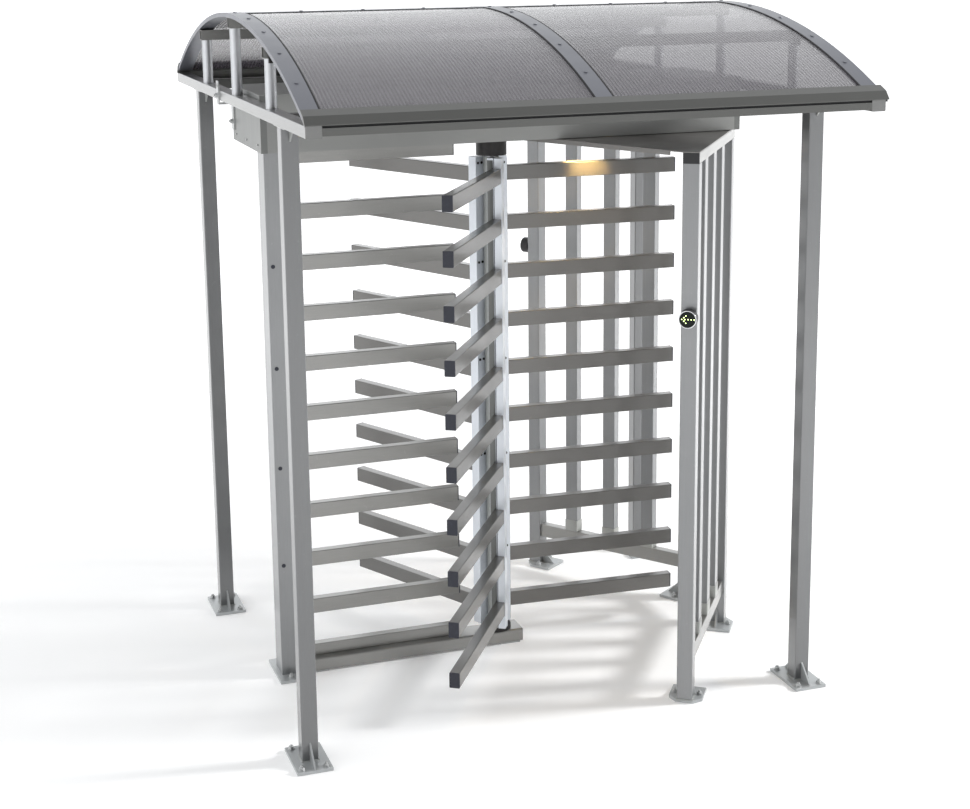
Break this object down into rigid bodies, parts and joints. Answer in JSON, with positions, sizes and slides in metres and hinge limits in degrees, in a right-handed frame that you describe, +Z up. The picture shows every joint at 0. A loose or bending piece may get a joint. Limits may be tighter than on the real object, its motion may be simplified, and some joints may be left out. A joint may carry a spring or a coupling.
{
  "type": "full-height turnstile with canopy",
  "caption": "Full-height visitor turnstile: a rotor of horizontal bars turns past a fixed comb inside an angled fence, under a barrel-vaulted clear canopy.",
  "frame": {"origin": "where the rotor's axis meets the floor", "axes": "+Z up, +X along the barrier from the comb to the fence, -Y towards the side people enter from"},
  "size_m": [2.11, 2.416, 2.628],
  "materials": {
    "aluminium": "satin",
    "arrow_lens": "gloss",
    "black_metal": "satin",
    "black_plastic": "matte",
    "board_green": "gloss",
    "brass": "satin",
    "bright_grey": "satin",
    "dark_blue_plastic": "matte",
    "light_grey": "satin",
    "machined_steel": "machined",
    "satin_grey": "satin",
    "smoked_sheet": "translucent",
    "warm_lens": "lit",
    "zinc": "satin"
  },
  "bodies": {
    "frame": {"bottom_beam": "satin_grey", "comb_post": "satin_grey", "comb_feet": "satin_grey", "comb_bars": "light_grey", "comb_caps": "dark_blue_plastic", "housing_tray": "satin_grey", "housing_lid": "light_grey", "housing_ends": "satin_grey", "housing_screws": "zinc", "mounting_pads": "black_plastic", "tie_strap": "zinc", "top_bearing": "black_metal", "pivot_socket": "black_metal", "damper_body": "black_metal", "solenoids": "zinc", "pawl_pins": "machined_steel", "controller_board": "board_green", "board_standoffs": "brass", "power_supply": "aluminium", "key_lock_body": "zinc", "fence_posts": "satin_grey", "fence_feet": "satin_grey", "fence_bottom_rails": "light_grey", "fence_bars": "light_grey", "fence_top_rails": "light_grey", "fence_rail_caps": "black_plastic", "ceiling_panel": "light_grey", "ceiling_lamps": "black_plastic", "lamp_lenses": "warm_lens", "display_housings": "black_plastic", "display_lenses": "arrow_lens", "canopy_posts": "satin_grey", "canopy_feet": "satin_grey", "post_brackets": "satin_grey", "gable_ties": "light_grey", "side_rails": "light_grey", "purlins": "satin_grey", "gable_struts": "satin_grey", "purlin_clamps": "black_metal", "roof_sheets": "smoked_sheet", "arch_ribs": "light_grey", "ridge_strips": "aluminium", "roof_screws": "zinc", "eave_gutters": "light_grey"},
    "rotor": {"rotor_core": "satin_grey", "rotor_stiles": "bright_grey", "wing_bars_1": "light_grey", "wing_bars_2": "light_grey", "wing_bars_3": "light_grey", "wing_caps": "dark_blue_plastic", "wing_bolts": "black_metal", "rotor_shaft": "machined_steel", "rotor_gear": "machined_steel", "index_wheel": "machined_steel"},
    "damper": {"damper_pinion": "brass"},
    "pawl_a": {"lock_pawl_a": "machined_steel"},
    "pawl_b": {"lock_pawl_b": "machined_steel"},
    "plunger_a": {"plunger_a": "machined_steel"},
    "plunger_b": {"plunger_b": "machined_steel"},
    "key": {"key_barrel": "machined_steel"}
  },
  "joints": [
    {"name": "rotor_spin", "type": "hinge", "parent": "frame", "child": "rotor", "pos_m": [0, 0, 0], "axis": [0, 0, 1], "continuous": true},
    {"name": "damper_spin", "type": "hinge", "parent": "frame", "child": "damper", "pos_m": [0, -0.1575, 2.15], "axis": [0, 0, 1], "continuous": true},
    {"name": "pawl_a_swing", "type": "hinge", "parent": "frame", "child": "pawl_a", "pos_m": [0.102, -0.07, 2.191], "axis": [0, 0, 1], "range_deg": [0, 8.5]},
    {"name": "pawl_b_swing", "type": "hinge", "parent": "frame", "child": "pawl_b", "pos_m": [-0.102, 0.07, 2.191], "axis": [0, 0, 1], "range_deg": [0, 8.5]},
    {"name": "plunger_a_slide", "type": "slide", "parent": "frame", "child": "plunger_a", "axis": [-1, 0, 0], "range_m": [0, 0.01395]},
    {"name": "plunger_b_slide", "type": "slide", "parent": "frame", "child": "plunger_b", "axis": [1, 0, 0], "range_m": [0, 0.01395]},
    {"name": "key_turn", "type": "hinge", "parent": "frame", "child": "key", "pos_m": [-0.4, 0.24, 2.23], "axis": [0, 1, 0], "range_deg": [0, 90]}
  ],
  "couplings": [
    {"joint": "damper_spin", "follows": "rotor_spin", "ratio": -2.5},
    {"joint": "plunger_a_slide", "follows": "pawl_a_swing", "m_per_rad": 0.094},
    {"joint": "plunger_b_slide", "follows": "pawl_b_swing", "m_per_rad": 0.094}
  ]
}
